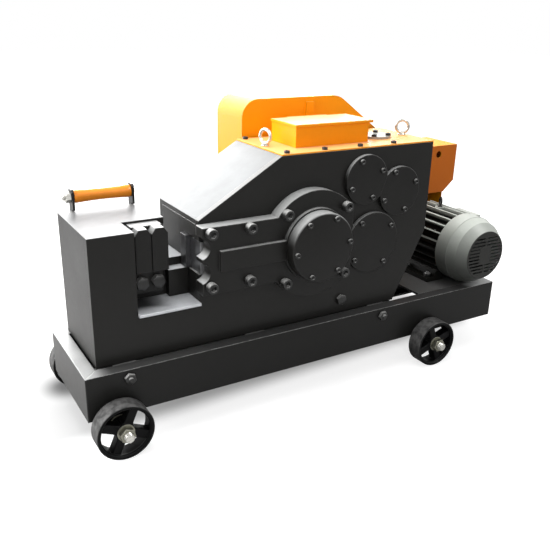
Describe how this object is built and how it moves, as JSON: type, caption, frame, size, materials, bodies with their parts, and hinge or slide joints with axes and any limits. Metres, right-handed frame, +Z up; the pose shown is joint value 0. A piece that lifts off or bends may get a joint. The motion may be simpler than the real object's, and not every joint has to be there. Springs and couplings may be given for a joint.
{
  "type": "rebar cutting machine",
  "caption": "Wheeled belt-driven bar cutter: gear case with crank and ram, throat with fixed and moving blades, flywheel guard, finned motor, channel base.",
  "frame": {"origin": "centre of the bounding box on the floor under the wheels", "axes": "+X along the base towards the motor, +Y away from the working side with the covers, +Z up"},
  "size_m": [1.224, 0.46, 0.6795],
  "materials": {
    "charcoal_paint": "satin",
    "orange_paint": "gloss",
    "motor_paint": "satin",
    "grey_paint": "satin",
    "black_paint": "satin",
    "roller_paint": "gloss",
    "wheel_iron": "rough",
    "machined_iron": "machined",
    "steel": "machined",
    "blade_steel": "ground",
    "zinc": "zinc plated",
    "black_oxide": "black oxide",
    "bronze": "machined",
    "belt_rubber": "matt",
    "fan_plastic": "matt"
  },
  "bodies": {
    "frame": {"near_rail": "charcoal_paint", "far_rail": "charcoal_paint", "front_rail": "charcoal_paint", "rear_rail": "charcoal_paint", "cross_members": "charcoal_paint", "motor_platform": "charcoal_paint", "axle_brackets": "charcoal_paint", "near_side_plate": "charcoal_paint", "far_side_plate": "charcoal_paint", "nose_block": "charcoal_paint", "throat_chute": "charcoal_paint", "slope_plate": "charcoal_paint", "rear_skin": "charcoal_paint", "guide_plate": "charcoal_paint", "crank_cover": "charcoal_paint", "bearing_covers": "charcoal_paint", "blade_clamp": "charcoal_paint", "ram_guide": "charcoal_paint", "belt_guard": "orange_paint", "guard_back": "orange_paint", "top_cover": "orange_paint", "oil_box": "orange_paint", "motor_housing": "motor_paint", "drive_end_shield": "motor_paint", "fan_cowl": "motor_paint", "terminal_box": "motor_paint", "flange_plate": "grey_paint", "roller_bracket": "black_paint", "wheel_axles": "steel", "roller_axle": "steel", "lid_hinge_pin": "steel", "fixed_blade": "blade_steel", "axle_fasteners": "zinc", "lifting_eyes": "zinc", "guide_bolts": "black_oxide", "cover_screws": "black_oxide", "hex_bolts": "black_oxide", "bearings": "bronze", "drive_belts": "belt_rubber"},
    "flywheel": {"flywheel": "machined_iron", "first_shaft": "steel"},
    "second_shaft": {"second_shaft": "steel", "second_gear": "steel"},
    "third_shaft": {"third_shaft": "steel", "third_gear": "steel"},
    "crank": {"crankshaft": "steel", "crank_gear": "steel"},
    "connecting_rod": {"connecting_rod": "steel"},
    "motor_rotor": {"motor_rotor": "steel", "motor_fan": "fan_plastic", "motor_pulley": "machined_iron"},
    "ram": {"ram": "steel", "moving_blade": "blade_steel", "wrist_pins": "steel"},
    "bar_roller": {"bar_roller": "roller_paint"},
    "oil_box_lid": {"oil_box_lid": "orange_paint"},
    "front_near_wheel": {"front_near_wheel": "wheel_iron"},
    "front_far_wheel": {"front_far_wheel": "wheel_iron"},
    "rear_near_wheel": {"rear_near_wheel": "wheel_iron"},
    "rear_far_wheel": {"rear_far_wheel": "wheel_iron"}
  },
  "joints": [
    {"name": "flywheel_spin", "type": "hinge", "parent": "frame", "child": "flywheel", "pos_m": [0.09131, 0.146, 0.51257], "axis": [0, 1, 0], "continuous": true},
    {"name": "second_shaft_spin", "type": "hinge", "parent": "frame", "child": "second_shaft", "pos_m": [0.19474, -0.02, 0.47513], "axis": [0, 1, 0], "continuous": true},
    {"name": "third_shaft_spin", "type": "hinge", "parent": "frame", "child": "third_shaft", "pos_m": [0.12135, -0.02, 0.35298], "axis": [0, 1, 0], "continuous": true},
    {"name": "crank_spin", "type": "hinge", "parent": "frame", "child": "crank", "pos_m": [-0.065, -0.02, 0.3845], "axis": [0, 1, 0], "continuous": true},
    {"name": "rod_swing", "type": "hinge", "parent": "crank", "child": "connecting_rod", "pos_m": [-0.045, -0.05, 0.3845], "axis": [0, 1, 0], "continuous": true},
    {"name": "motor_spin", "type": "hinge", "parent": "frame", "child": "motor_rotor", "pos_m": [0.483, 0, 0.2745], "axis": [0, 1, 0], "continuous": true},
    {"name": "ram_slide", "type": "slide", "parent": "frame", "child": "ram", "axis": [-1, 0, 0], "range_m": [0, 0.04]},
    {"name": "roller_spin", "type": "hinge", "parent": "frame", "child": "bar_roller", "pos_m": [-0.476, 0.09, 0.4915], "axis": [1, 0, 0], "continuous": true},
    {"name": "lid_hinge", "type": "hinge", "parent": "frame", "child": "oil_box_lid", "pos_m": [0.031, 0.041, 0.6335], "axis": [-1, 0, 0], "range_deg": [0, 95]},
    {"name": "front_near_wheel_spin", "type": "hinge", "parent": "frame", "child": "front_near_wheel", "pos_m": [-0.548, -0.186, 0.062], "axis": [0, 1, 0], "continuous": true},
    {"name": "front_far_wheel_spin", "type": "hinge", "parent": "frame", "child": "front_far_wheel", "pos_m": [-0.548, 0.157, 0.062], "axis": [0, 1, 0], "continuous": true},
    {"name": "rear_near_wheel_spin", "type": "hinge", "parent": "frame", "child": "rear_near_wheel", "pos_m": [0.308, -0.186, 0.062], "axis": [0, 1, 0], "continuous": true},
    {"name": "rear_far_wheel_spin", "type": "hinge", "parent": "frame", "child": "rear_far_wheel", "pos_m": [0.308, 0.157, 0.062], "axis": [0, 1, 0], "continuous": true}
  ],
  "couplings": [
    {"joint": "second_shaft_spin", "follows": "flywheel_spin", "ratio": -0.34146},
    {"joint": "third_shaft_spin", "follows": "flywheel_spin", "ratio": 0.11117},
    {"joint": "crank_spin", "follows": "flywheel_spin", "ratio": -0.031764},
    {"joint": "rod_swing", "follows": "flywheel_spin", "ratio": 0.031764},
    {"joint": "motor_spin", "follows": "flywheel_spin", "ratio": 3.2346}
  ]
}
